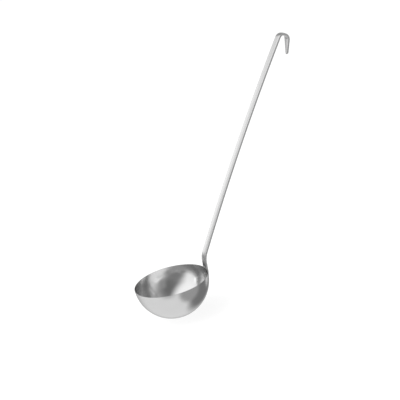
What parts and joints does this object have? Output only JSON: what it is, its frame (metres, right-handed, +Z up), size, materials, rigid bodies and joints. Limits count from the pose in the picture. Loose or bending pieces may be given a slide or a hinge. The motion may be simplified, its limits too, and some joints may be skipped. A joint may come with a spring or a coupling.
{
  "type": "ladle",
  "caption": "Stainless steel ladle: half-round bowl with a plain rim, welded to a long flat strap handle that ends in a tapered hanging hook, for dipping and pouring oil or soup.",
  "frame": {"origin": "top of the hook's inside, where a rail carries the ladle", "axes": "+Z up with the bowl's mouth level, +X from the bowl towards the handle's hook, Y across the strap"},
  "size_m": [0.2631, 0.09, 0.286],
  "materials": {
    "bowl_steel": "satin polished stainless steel",
    "handle_steel": "stainless steel brushed along the strap",
    "weld_steel": "fused stainless steel"
  },
  "bodies": {
    "root": {"bowl": "bowl_steel", "handle": "handle_steel", "weld_nugget_upper": "weld_steel", "weld_nugget_lower": "weld_steel"}
  },
  "joints": []
}
